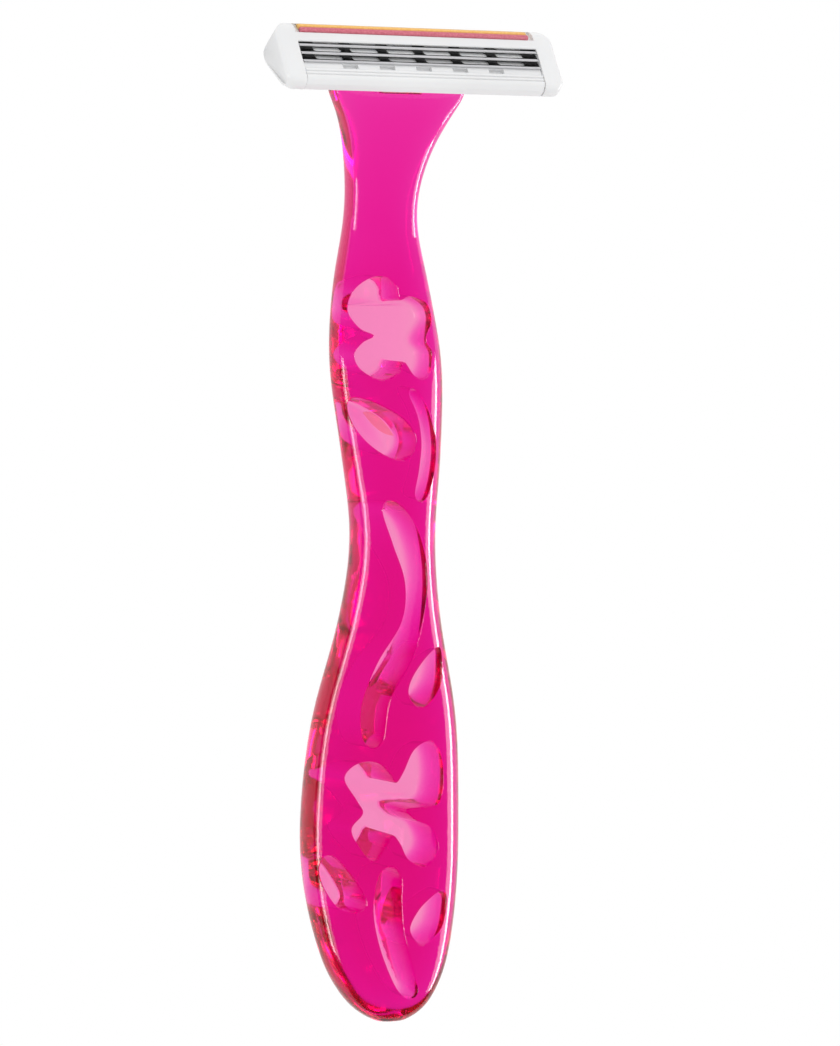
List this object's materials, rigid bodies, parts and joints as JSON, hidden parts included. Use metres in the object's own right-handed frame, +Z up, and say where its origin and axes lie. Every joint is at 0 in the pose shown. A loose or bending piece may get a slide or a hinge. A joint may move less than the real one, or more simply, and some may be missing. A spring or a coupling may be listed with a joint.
{
  "type": "cartridge razor",
  "caption": "Wet-shaving razor with a recessed clear plastic handle and a pivoting three-blade head with two lubricating strips.",
  "frame": {"origin": "centre of the bounding box in X and Y, on the surface that the razor's back rests on", "axes": "+X along the blades, +Y from the handle's tip to the head, +Z up, the side the blades face"},
  "size_m": [0.0418, 0.1368, 0.0177],
  "materials": {
    "pink_clear_plastic": "glossy see-through magenta plastic",
    "white_plastic": "satin white moulded plastic",
    "blade_steel": "ground stainless steel strip with a bright bevel",
    "pink_strip": "soft matt polymer strip, pink",
    "yellow_strip": "soft matt polymer strip, warm yellow"
  },
  "bodies": {
    "grip": {"handle": "pink_clear_plastic"},
    "tongue": {"return_tongue": "pink_clear_plastic"},
    "head": {"head_base": "white_plastic", "head_cover": "white_plastic", "blade_front": "blade_steel", "blade_middle": "blade_steel", "blade_rear": "blade_steel", "spacer_front": "white_plastic", "spacer_rear": "white_plastic", "lubricating_strip_front": "pink_strip", "lubricating_strip_rear": "yellow_strip"}
  },
  "joints": [
    {"name": "head_pivot", "type": "hinge", "parent": "grip", "child": "head", "pos_m": [0, 0.06275, 0.00758], "axis": [1, 0, 0], "range_deg": [0, 30], "stiffness_Nm_per_rad": 0.003, "springref_deg": -17.19},
    {"name": "tongue_bend", "type": "hinge", "parent": "grip", "child": "tongue", "pos_m": [0, 0.06025, 0.00618], "axis": [1, 0, 0], "range_deg": [0, 24]}
  ],
  "couplings": [
    {"joint": "tongue_bend", "follows": "head_pivot", "ratio": 0.7}
  ]
}
